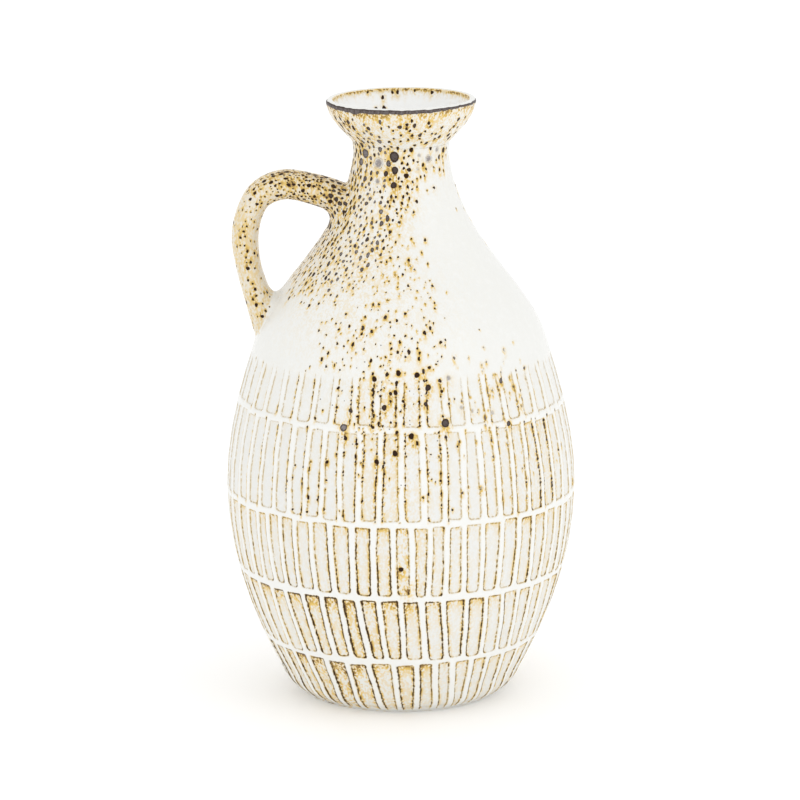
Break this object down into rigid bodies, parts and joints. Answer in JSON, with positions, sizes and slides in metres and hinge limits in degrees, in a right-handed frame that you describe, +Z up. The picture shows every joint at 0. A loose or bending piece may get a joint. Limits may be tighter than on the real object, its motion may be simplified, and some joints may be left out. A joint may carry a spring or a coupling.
{
  "type": "glazed jug",
  "caption": "Full-bellied glazed jug with hoops and rows of upright ribs round its body, a narrow neck, a flared bowl mouth and one strap handle.",
  "frame": {"origin": "centre of the foot's underside, on the surface that the jug stands on", "axes": "+Z up the jug's axis towards the mouth; the handle is on the -X side; +X to the right as the picture shows it"},
  "size_m": [0.172, 0.172, 0.296],
  "materials": {
    "ivory_glaze": "glossy ivory glaze with brown-black iron spots and ochre halos",
    "white_relief": "glossy white glaze over the raised lines, breaking to ochre along their edges",
    "speckled_glaze": "glossy ivory glaze, dense with dark craters and ochre runs, grey-brown line under the lip",
    "ochre_glaze": "glossy ochre-tinted glaze with dark spots",
    "bare_clay": "unglazed fired clay, matt"
  },
  "bodies": {
    "root": {"foot_ring": "bare_clay", "floor_disc": "ivory_glaze", "wall_course_1": "ivory_glaze", "wall_course_2": "ivory_glaze", "wall_course_3": "ivory_glaze", "wall_course_4": "ivory_glaze", "wall_course_5": "ivory_glaze", "shoulder_cone": "ivory_glaze", "neck_collar": "speckled_glaze", "mouth_bowl": "speckled_glaze", "handle": "ochre_glaze", "hoop_1": "white_relief", "hoop_2": "white_relief", "hoop_3": "white_relief", "hoop_4": "white_relief", "ribs_row_1": "white_relief", "ribs_row_2": "white_relief", "ribs_row_3": "white_relief", "ribs_row_4": "white_relief", "ribs_row_5": "white_relief"}
  },
  "joints": []
}
